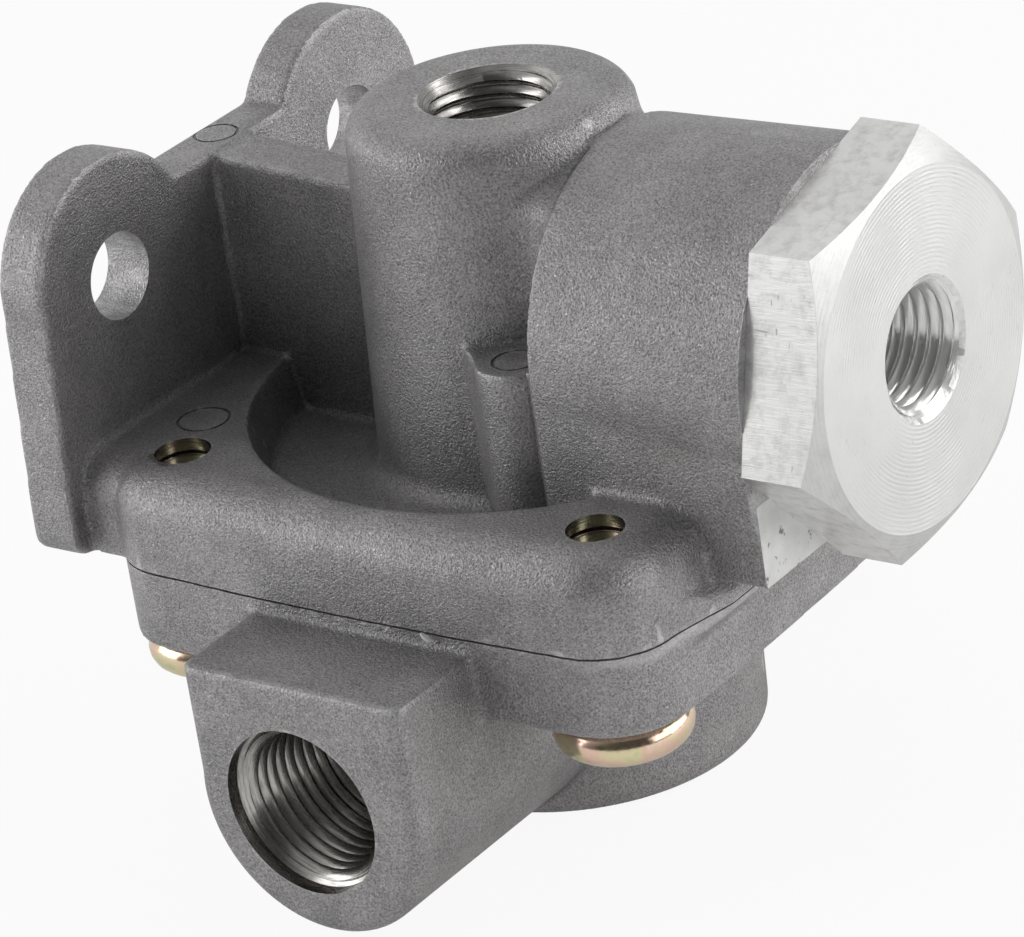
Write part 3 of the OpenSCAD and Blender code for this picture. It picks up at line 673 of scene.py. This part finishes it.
def machine_body(piece):
    # Joint face, kept clear of the plate's foot, and the barrel's end face
    bm = bmesh.new()
    add_block(bm, (-33.2 * MM, -BIG, -BIG), (BIG, BIG, JOINT_Z))
    carve(piece, object_from("joint_cut", bm))
    bm = bmesh.new()
    add_block(bm, (BARREL_END_X, -BIG, -BIG), (BIG, BIG, BIG))
    carve(piece, object_from("end_cut", bm))
    # Balance port with its lead-in, and the passage below it
    root = SMALL_CREST + THREAD_DEPTH
    rim = SMALL_CREST + SMALL_LEAD
    port = port_outline(rim, root, 4.3 * MM, -30.8 * MM)
    carve(piece, turned("balance_cut", Vector((0, 0, BOSS_TOP_Z)), Z_AXIS, port))
    # Check valve chamber with its raised seat, and the bore for the cap nut
    chamber = [(0, 0), (4.2 * MM, 0), (4.2 * MM, 15.5 * MM), (5.5 * MM, 15.5 * MM)]
    chamber += [(5.5 * MM, CHAMBER_X), (11.5 * MM, CHAMBER_X), (11.5 * MM, 28.3 * MM)]
    chamber += [(14 * MM, 28.3 * MM), (14 * MM, 41 * MM), (0, 41 * MM)]
    carve(piece, turned("chamber_cut", Vector((0, 0, BARREL_AXIS_Z)), X_AXIS, chamber))
    bm = bmesh.new()
    add_rod(bm, Vector((INLET_X, 0, 27 * MM)), Z_AXIS, 15.7 * MM, 3.2 * MM)
    carve(piece, object_from("inlet_cut", bm))
    bm = bmesh.new()
    add_rod(bm, Vector((0, 0, 27 * MM)), Z_AXIS, 3 * MM, 22.9 * MM, 96)
    carve(piece, object_from("pocket_cut", bm))
    # Tapped corner holes, with the thread's grooves as rings, and the plain ear holes
    bm = bmesh.new()
    tapped = [(0, -2 * MM), (3 * MM, -2 * MM), (3 * MM, 5.6 * MM)]
    for turn in range(3):
        low = 5.6 * MM + turn * MM
        tapped += [(3.28 * MM, low + 0.45 * MM), (3.0 * MM, low + 0.9 * MM)]
    tapped += [(2.84 * MM, 8.7 * MM), (2.84 * MM, 12 * MM), (0, 12 * MM)]
    for x, y in SCREWS:
        add_turned(bm, Vector((x, y, JOINT_Z)), Z_AXIS, tapped, 48)
    for side in (-1, 1):
        start = Vector((PLATE_BACK_X - 2 * MM, side * EAR_Y, EAR_Z))
        add_rod(bm, start, X_AXIS, PLATE_FRONT_X - PLATE_BACK_X + 4 * MM, EAR_HOLE, 64)
    carve(piece, object_from("hole_cut", bm))
    # Shallow rings that the ejector pins left
    bm = bmesh.new()
    for place, axis, r in EJECTOR_MARKS:
        groove = groove_outline(r - MARK_DEPTH, r + MARK_DEPTH, -MARK_DEPTH, 0.5 * MM)
        add_turned(bm, Vector(place), Vector(axis), groove, 48)
    carve(piece, object_from("ejector_cut", bm))
    cut_joint_gap(piece, JOINT_Z - MM, JOINT_Z + 0.10 * MM)


def on_end_face(normal, at):
    return normal.x > 0.95 and abs(at.x - BARREL_END_X) < 0.05 * MM


def assign_body_faces(piece):
    # Only the foot of the barrel's end face is bright, so it is parted from the rest
    bm = bmesh.new()
    bm.from_mesh(piece.data)
    end = [face for face in bm.faces if on_end_face(face.normal, face.calc_center_median())]
    edges = list({edge for face in end for edge in face.edges})
    verts = list({vert for face in end for vert in face.verts})
    bmesh.ops.bisect_plane(bm, geom=verts + edges + end, plane_co=(0, 0, FOOT_TOP_Z), plane_no=(0, 0, 1))
    bm.to_mesh(piece.data)
    bm.free()
    for face in piece.data.polygons:
        at = face.center
        near_screw = min(math.hypot(at.x - x, at.y - y) for x, y in SCREWS)
        if on_end_face(face.normal, at) and at.z < FOOT_TOP_Z:
            face.material_index = 1
        elif math.hypot(at.x, at.y) < 7.3 * MM and at.z > 55 * MM and at.z < BOSS_TOP_Z - 0.02 * MM:
            face.material_index = 2
        elif near_screw < 3.35 * MM and at.z < BASE_TOP_Z - 0.02 * MM:
            face.material_index = 2
        else:
            face.material_index = 0


# Lower casting
def build_cover():
    bm = node_bmesh("cover")
    add_rod(bm, Vector((0, 0, 0.02 * MM)), Z_AXIS, 28 * MM, 17.4 * MM, 96)
    add_rod(bm, Vector((0, 0, 22.5 * MM)), Z_AXIS, 7.4 * MM, 28.4 * MM, 96)
    for x, y in SCREWS:
        add_rod(bm, Vector((x, y, 20.12 * MM)), Z_AXIS, 9.8 * MM, 4.6 * MM)
    for side in (-1, 1):
        add_rod(bm, Vector((0, 0, DELIVERY_Z)), Y_AXIS * side, DELIVERY_Y - 0.02 * MM, 9.6 * MM, 64)
    top = slab("cover", (-BIG, -BIG, JOINT_Z - 1.3 * MM), (BIG, BIG, JOINT_Z + MM), (0, 0, 1.2 * MM), "top")
    join_into(bm, top)
    for rise in (0, 1.2 * MM):
        join_into(bm, torn_lip(rise))
    piece = object_from("cover_casting", bm)
    soften(piece, VOXEL, 3, 0.48)
    machine_cover(piece)
    dress(piece, cover_casting, side_thread)
    assign_cover_faces(piece)
    finish_piece(piece, angle=32.0)
    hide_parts("cover")


def torn_lip(rise):
    """The body's sloped lip, turned upside down and flattened, so that it hangs below the joint."""
    low, high = (24 * MM, -BIG, JOINT_Z - MM), (BIG, -12.6 * MM, JOINT_Z + 2.9 * MM)
    piece = slab("body", low, high, (0, 0, -JOINT_Z), "torn_lip")
    bm = bmesh.new()
    bm.from_mesh(piece.data)
    bmesh.ops.scale(bm, verts=bm.verts, vec=(1, 1, -0.7))
    bmesh.ops.translate(bm, verts=bm.verts, vec=(-0.1 * MM, 0, JOINT_Z + rise))
    bmesh.ops.recalc_face_normals(bm, faces=bm.faces)
    bm.to_mesh(piece.data)
    bm.free()
    return piece


def machine_cover(piece):
    bm = bmesh.new()
    add_block(bm, (-BIG, -BIG, JOINT_Z), (BIG, BIG, BIG))
    carve(piece, object_from("joint_cut", bm))
    # Exhaust bore, its raised seat, the spring's cavity and the diaphragm's dish in one outline
    inside = [(0, -MM), (7.4 * MM, -MM), (7.4 * MM, 23.65 * MM), (9.8 * MM, 23.65 * MM)]
    inside += [(9.8 * MM, 3.6 * MM), (16.8 * MM, 3.6 * MM), (16.8 * MM, 24 * MM)]
    inside += [(24.7 * MM, 24 * MM), (24.7 * MM, 30 * MM), (0, 30 * MM)]
    carve(piece, turned("inside_cut", Vector((0, 0, 0)), Z_AXIS, inside))
    groove = groove_outline(26.0 * MM, 27.86 * MM, 26.74 * MM, 30 * MM)
    carve(piece, turned("groove_cut", Vector((0, 0, 0)), Z_AXIS, groove))
    # Delivery ports with their lead-in, and the passages to the cavity
    root = LARGE_CREST + THREAD_DEPTH
    rim = LARGE_CREST + LARGE_LEAD
    port = [(0, MM), (rim, MM), (rim, -1.5 * MM), (root, -2.0 * MM), (root, -17 * MM)]
    port += [(6.1 * MM, -18 * MM), (6.1 * MM, -29 * MM), (0, -29 * MM)]
    for side in (-1, 1):
        origin = Vector((0, side * DELIVERY_Y, DELIVERY_Z))
        carve(piece, turned("delivery_cut", origin, Y_AXIS * side, port))
    bm = bmesh.new()
    for x, y in SCREWS:
        add_rod(bm, Vector((x, y, 18 * MM)), Z_AXIS, 12 * MM, 3.3 * MM)
    carve(piece, object_from("screw_cut", bm))
    cut_joint_gap(piece, JOINT_Z - 0.12 * MM, JOINT_Z + MM)


def assign_cover_faces(piece):
    for face in piece.data.polygons:
        at = face.center
        bore = math.hypot(at.x, at.z - DELIVERY_Z)
        within = 17 * MM < abs(at.y) < DELIVERY_Y - 0.02 * MM
        face.material_index = 1 if bore < 9.0 * MM and within else 0


# Threads cut into the ports
def build_thread(name, origin, axis, crest, length, mouth, material, slot):
    """One helical ridge on a port's wall.

    axis points into the port, and mouth is how much wider than the crest the countersink is there.
    """
    bm = bmesh.new()
    side = axis.orthogonal().normalized()
    root = crest + THREAD_DEPTH + 0.05 * MM
    outline = [(root, 0.02), (crest, 0.44), (crest, 0.56), (root, 0.98)]
    verts = [bm.verts.new(origin + side * r + axis * ((h - 1) * THREAD_PITCH)) for r, h in outline]
    edges = [bm.edges.new((verts[i], verts[(i + 1) % 4])) for i in range(4)]
    bm.faces.new(verts)
    turns = length / THREAD_PITCH
    steps = int(turns * 56)
    made = bmesh.ops.spin(
        bm,
        geom=verts + edges,
        cent=origin,
        axis=axis,
        dvec=axis * (length / steps),
        angle=math.tau * turns,
        steps=steps,
    )
    last = [item for item in made["geom_last"] if isinstance(item, bmesh.types.BMEdge)]
    bmesh.ops.contextual_create(bm, geom=last)
    bmesh.ops.recalc_face_normals(bm, faces=bm.faces)
    piece = object_from(name, bm)
    # The countersink trims the first turns
    rim = crest + mouth
    cone = [(0, -4 * MM), (rim + MM, -4 * MM), (rim + MM, -1 * MM), (rim - 4 * MM, 4 * MM), (0, 4 * MM)]
    carve(piece, turned("mouth_cut", origin, axis, cone))
    dress(piece, material)
    finish_piece(piece, angle=50.0)


# Cap nut
def build_cap_nut():
    bm = node_bmesh("supply_cap_nut")
    bmesh.ops.dissolve_limit(bm, angle_limit=math.radians(0.4), verts=bm.verts, edges=bm.edges)
    piece = object_from("supply_cap", bm)
    root = SMALL_CREST + THREAD_DEPTH
    rim = SMALL_CREST + SMALL_LEAD
    port = port_outline(rim, root, 5.1 * MM, -21 * MM)
    carve(piece, turned("supply_cut", Vector((HEX_FACE_X, 0, BARREL_AXIS_Z)), X_AXIS, port))
    bevel = piece.modifiers.new("edges", "BEVEL")
    bevel.width = 0.16 * MM
    bevel.segments = 2
    bevel.limit_method = "ANGLE"
    bevel.angle_limit = math.radians(28)
    bake_modifiers(piece)
    dress(piece, bright_cap, bright_thread)
    for face in piece.data.polygons:
        off_axis = math.hypot(face.center.y, face.center.z - BARREL_AXIS_Z)
        inside = off_axis < rim - 0.17 * MM and face.center.x < HEX_FACE_X - 0.03 * MM
        face.material_index = 1 if inside else 0
    finish_piece(piece, angle=12.0)
    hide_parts("supply_cap_nut")


# Corner screws
HEAD = [(0, -4.0), (4.3, -4.0), (5.2, -3.92), (5.9, -3.65), (6.45, -3.15), (6.75, -2.5)]
HEAD += [(6.82, -1.9), (6.7, -1.2), (6.35, -0.6), (5.8, -0.2), (5.0, 0.0)]
SHANK = [(2.95, 0.0), (2.95, 12.0)]
SCREW_END = [(2.95, 16.3), (2.45, 16.9), (0, 16.9)]


def build_screws():
    thread = [point for turn in range(4) for point in ((2.62, 12.5 + turn), (2.95, 13.0 + turn))]
    outline = [(r * MM, h * MM) for r, h in HEAD + SHANK + thread + SCREW_END]
    bm = bmesh.new()
    for x, y in SCREWS:
        add_turned(bm, Vector((x, y, SCREW_SEAT_Z)), Z_AXIS, outline, 64)
    piece = object_from("corner_screws", bm)
    # Cross recess in each head, one arm at a time
    for arm in (0, 1):
        bm = bmesh.new()
        for index, (x, y) in enumerate(SCREWS):
            turn = Matrix.Rotation(0.5 + 0.9 * index + arm * math.pi / 2, 4, "Z")
            place = Matrix.Translation((x, y, SCREW_SEAT_Z - 3.3 * MM)) @ turn
            size = Matrix.Diagonal((6.4 * MM, 1.3 * MM, 2.2 * MM, 1))
            bmesh.ops.create_cube(bm, size=1.0, matrix=place @ size)
        carve(piece, object_from("recess_arm", bm))
    dress(piece, yellow_zinc)
    finish_piece(piece, angle=40.0)
    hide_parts("cover_screws")


def build_chip():
    """Curled metal chip that stuck in the joint."""
    bm = bmesh.new()
    tilt = Matrix.Rotation(0.6, 4, "Y") @ Matrix.Rotation(0.5, 4, "X")
    size = Matrix.Diagonal((0.78 * MM, 0.28 * MM, 0.50 * MM, 1))
    place = Matrix.Translation((9.6 * MM, -33.35 * MM, 28.55 * MM)) @ tilt @ size
    bmesh.ops.create_icosphere(bm, subdivisions=2, radius=1.0, matrix=place)
    bmesh.ops.bisect_plane(
        bm,
        geom=bm.verts[:] + bm.edges[:] + bm.faces[:],
        plane_co=(9.6 * MM, -33.2 * MM, 28.75 * MM),
        plane_no=(0.5, 0.1, 0.86),
        clear_outer=True,
    )
    bmesh.ops.holes_fill(bm, edges=[edge for edge in bm.edges if edge.is_boundary])
    piece = object_from("joint_chip", bm)
    dress(piece, chip_metal)
    finish_piece(piece)


def paint(name, material):
    for holder in nodes[name].material_slots:
        holder.material = material


build_body()
build_cover()
build_cap_nut()
build_screws()
boss_mouth = Vector((0, 0, BOSS_TOP_Z))
build_thread("balance_thread", boss_mouth, -Z_AXIS, *SMALL_THREAD, cut_thread, "casting")
cap_mouth = Vector((HEX_FACE_X, 0, BARREL_AXIS_Z))
build_thread("supply_thread", cap_mouth, -X_AXIS, *SMALL_THREAD, bright_thread, "turned_aluminium")
for side, end in ((-1, "front"), (1, "rear")):
    mouth = Vector((0, side * DELIVERY_Y, DELIVERY_Z))
    build_thread("delivery_thread_" + end, mouth, Y_AXIS * -side, *LARGE_THREAD, side_thread, "casting")
build_chip()

for name in ("cover_o_ring", "cap_nut_o_ring", "check_valve_shuttle", "diaphragm"):
    paint(name, rubber)
for name in ("spring_seat", "diaphragm_spring"):
    paint(name, spring_steel)
paint("check_valve_guide", brass)


# Floor, light and camera
def build_floor():
    bm = bmesh.new()
    just_below = Matrix.Translation((0, 0, -0.2 * MM))
    bmesh.ops.create_grid(bm, x_segments=1, y_segments=1, size=3.0, matrix=just_below)
    material, tree, shader = new_material("pale_floor")
    shader.inputs["Base Color"].default_value = (0.86, 0.86, 0.86, 1)
    shader.inputs["Roughness"].default_value = 0.8
    path = add(tree, "ShaderNodeLightPath")
    # A faint glow in reflections stands for the wide white table, and the camera sees it as white paper
    glow = add(tree, "ShaderNodeEmission")
    shine = math_node(tree, "MULTIPLY", path.outputs["Is Glossy Ray"], 0.20)
    tree.links.new(shine, glow.inputs["Strength"])
    table = add(tree, "ShaderNodeAddShader")
    tree.links.new(shader.outputs[0], table.inputs[0])
    tree.links.new(glow.outputs[0], table.inputs[1])
    paper = add(tree, "ShaderNodeEmission")
    blend = add(tree, "ShaderNodeMixShader")
    tree.links.new(math_node(tree, "MULTIPLY", path.outputs["Is Camera Ray"], 0.92), blend.inputs[0])
    tree.links.new(table.outputs[0], blend.inputs[1])
    tree.links.new(paper.outputs[0], blend.inputs[2])
    tree.links.new(blend.outputs[0], tree.nodes["Material Output"].inputs["Surface"])
    floor = object_from("floor", bm, [material])


SKY = [(0.0, 0.055), (0.45, 0.077), (0.75, 0.50), (1.0, 0.82)]
BACKDROP = (-0.80, 0.36, 0.48)


def build_world():
    """Bright backdrop behind and above the valve, a dim room in front, and plain white for the camera."""
    world = bpy.data.worlds.new("studio")
    bpy.context.scene.world = world
    world.use_nodes = True
    tree = world.node_tree
    fill = tree.nodes["Background"]
    toward = add(tree, "ShaderNodeVectorMath", operation="DOT_PRODUCT")
    tree.links.new(add(tree, "ShaderNodeTexCoord").outputs["Generated"], toward.inputs[0])
    toward.inputs[1].default_value = BACKDROP
    share = math_node(tree, "ADD", math_node(tree, "MULTIPLY", toward.outputs["Value"], 0.5), 0.5)
    tree.links.new(ramp(tree, share, SKY), fill.inputs["Color"])
    white = add(tree, "ShaderNodeBackground")
    white.inputs["Color"].default_value = (1, 1, 1, 1)
    path = add(tree, "ShaderNodeLightPath")
    blend = add(tree, "ShaderNodeMixShader")
    tree.links.new(path.outputs["Is Camera Ray"], blend.inputs[0])
    tree.links.new(fill.outputs[0], blend.inputs[1])
    tree.links.new(white.outputs[0], blend.inputs[2])
    tree.links.new(blend.outputs[0], tree.nodes["World Output"].inputs["Surface"])


def add_lamp(name, place, target, size, watts):
    lamp = bpy.data.lights.new(name, "AREA")
    lamp.shape = "RECTANGLE"
    lamp.size, lamp.size_y = size
    lamp.energy = watts
    holder = bpy.data.objects.new(name, lamp)
    bpy.context.scene.collection.objects.link(holder)
    away = Vector(target) - Vector(place)
    holder.location = place
    holder.rotation_euler = away.to_track_quat("-Z", "Y").to_euler()


def build_camera():
    yaw, pitch, roll = math.radians(129.145), math.radians(-25.198), math.radians(-8.8546)
    forward = Vector((math.cos(pitch) * math.cos(yaw), math.cos(pitch) * math.sin(yaw), math.sin(pitch)))
    level = forward.cross(Z_AXIS).normalized()
    rise = level.cross(forward)
    right = level * math.cos(roll) + rise * math.sin(roll)
    up = rise * math.cos(roll) - level * math.sin(roll)
    lens = bpy.data.cameras.new("photo_camera")
    lens.sensor_fit = "HORIZONTAL"
    lens.sensor_width = 36.0
    lens.lens = 188.16
    lens.clip_start = 0.01
    camera = bpy.data.objects.new("photo_camera", lens)
    turn = Matrix((right, up, -forward)).transposed().to_4x4()
    camera.matrix_world = Matrix.Translation((0.300528, -0.37427, 0.255373)) @ turn
    bpy.context.scene.collection.objects.link(camera)
    bpy.context.scene.camera = camera


build_floor()
build_world()
MIDDLE = (0, 0, 0.045)
add_lamp("softbox_left", (-0.44, -0.33, 0.20), MIDDLE, (0.42, 0.36), 1.0)
add_lamp("softbox_right", (0.40, 0.34, 0.28), MIDDLE, (0.45, 0.52), 1.7)
add_lamp("card_right", (0.48, 0.04, 0.17), MIDDLE, (0.30, 0.24), 0.45)
build_camera()

scene = bpy.context.scene
scene.view_settings.view_transform = "Standard"
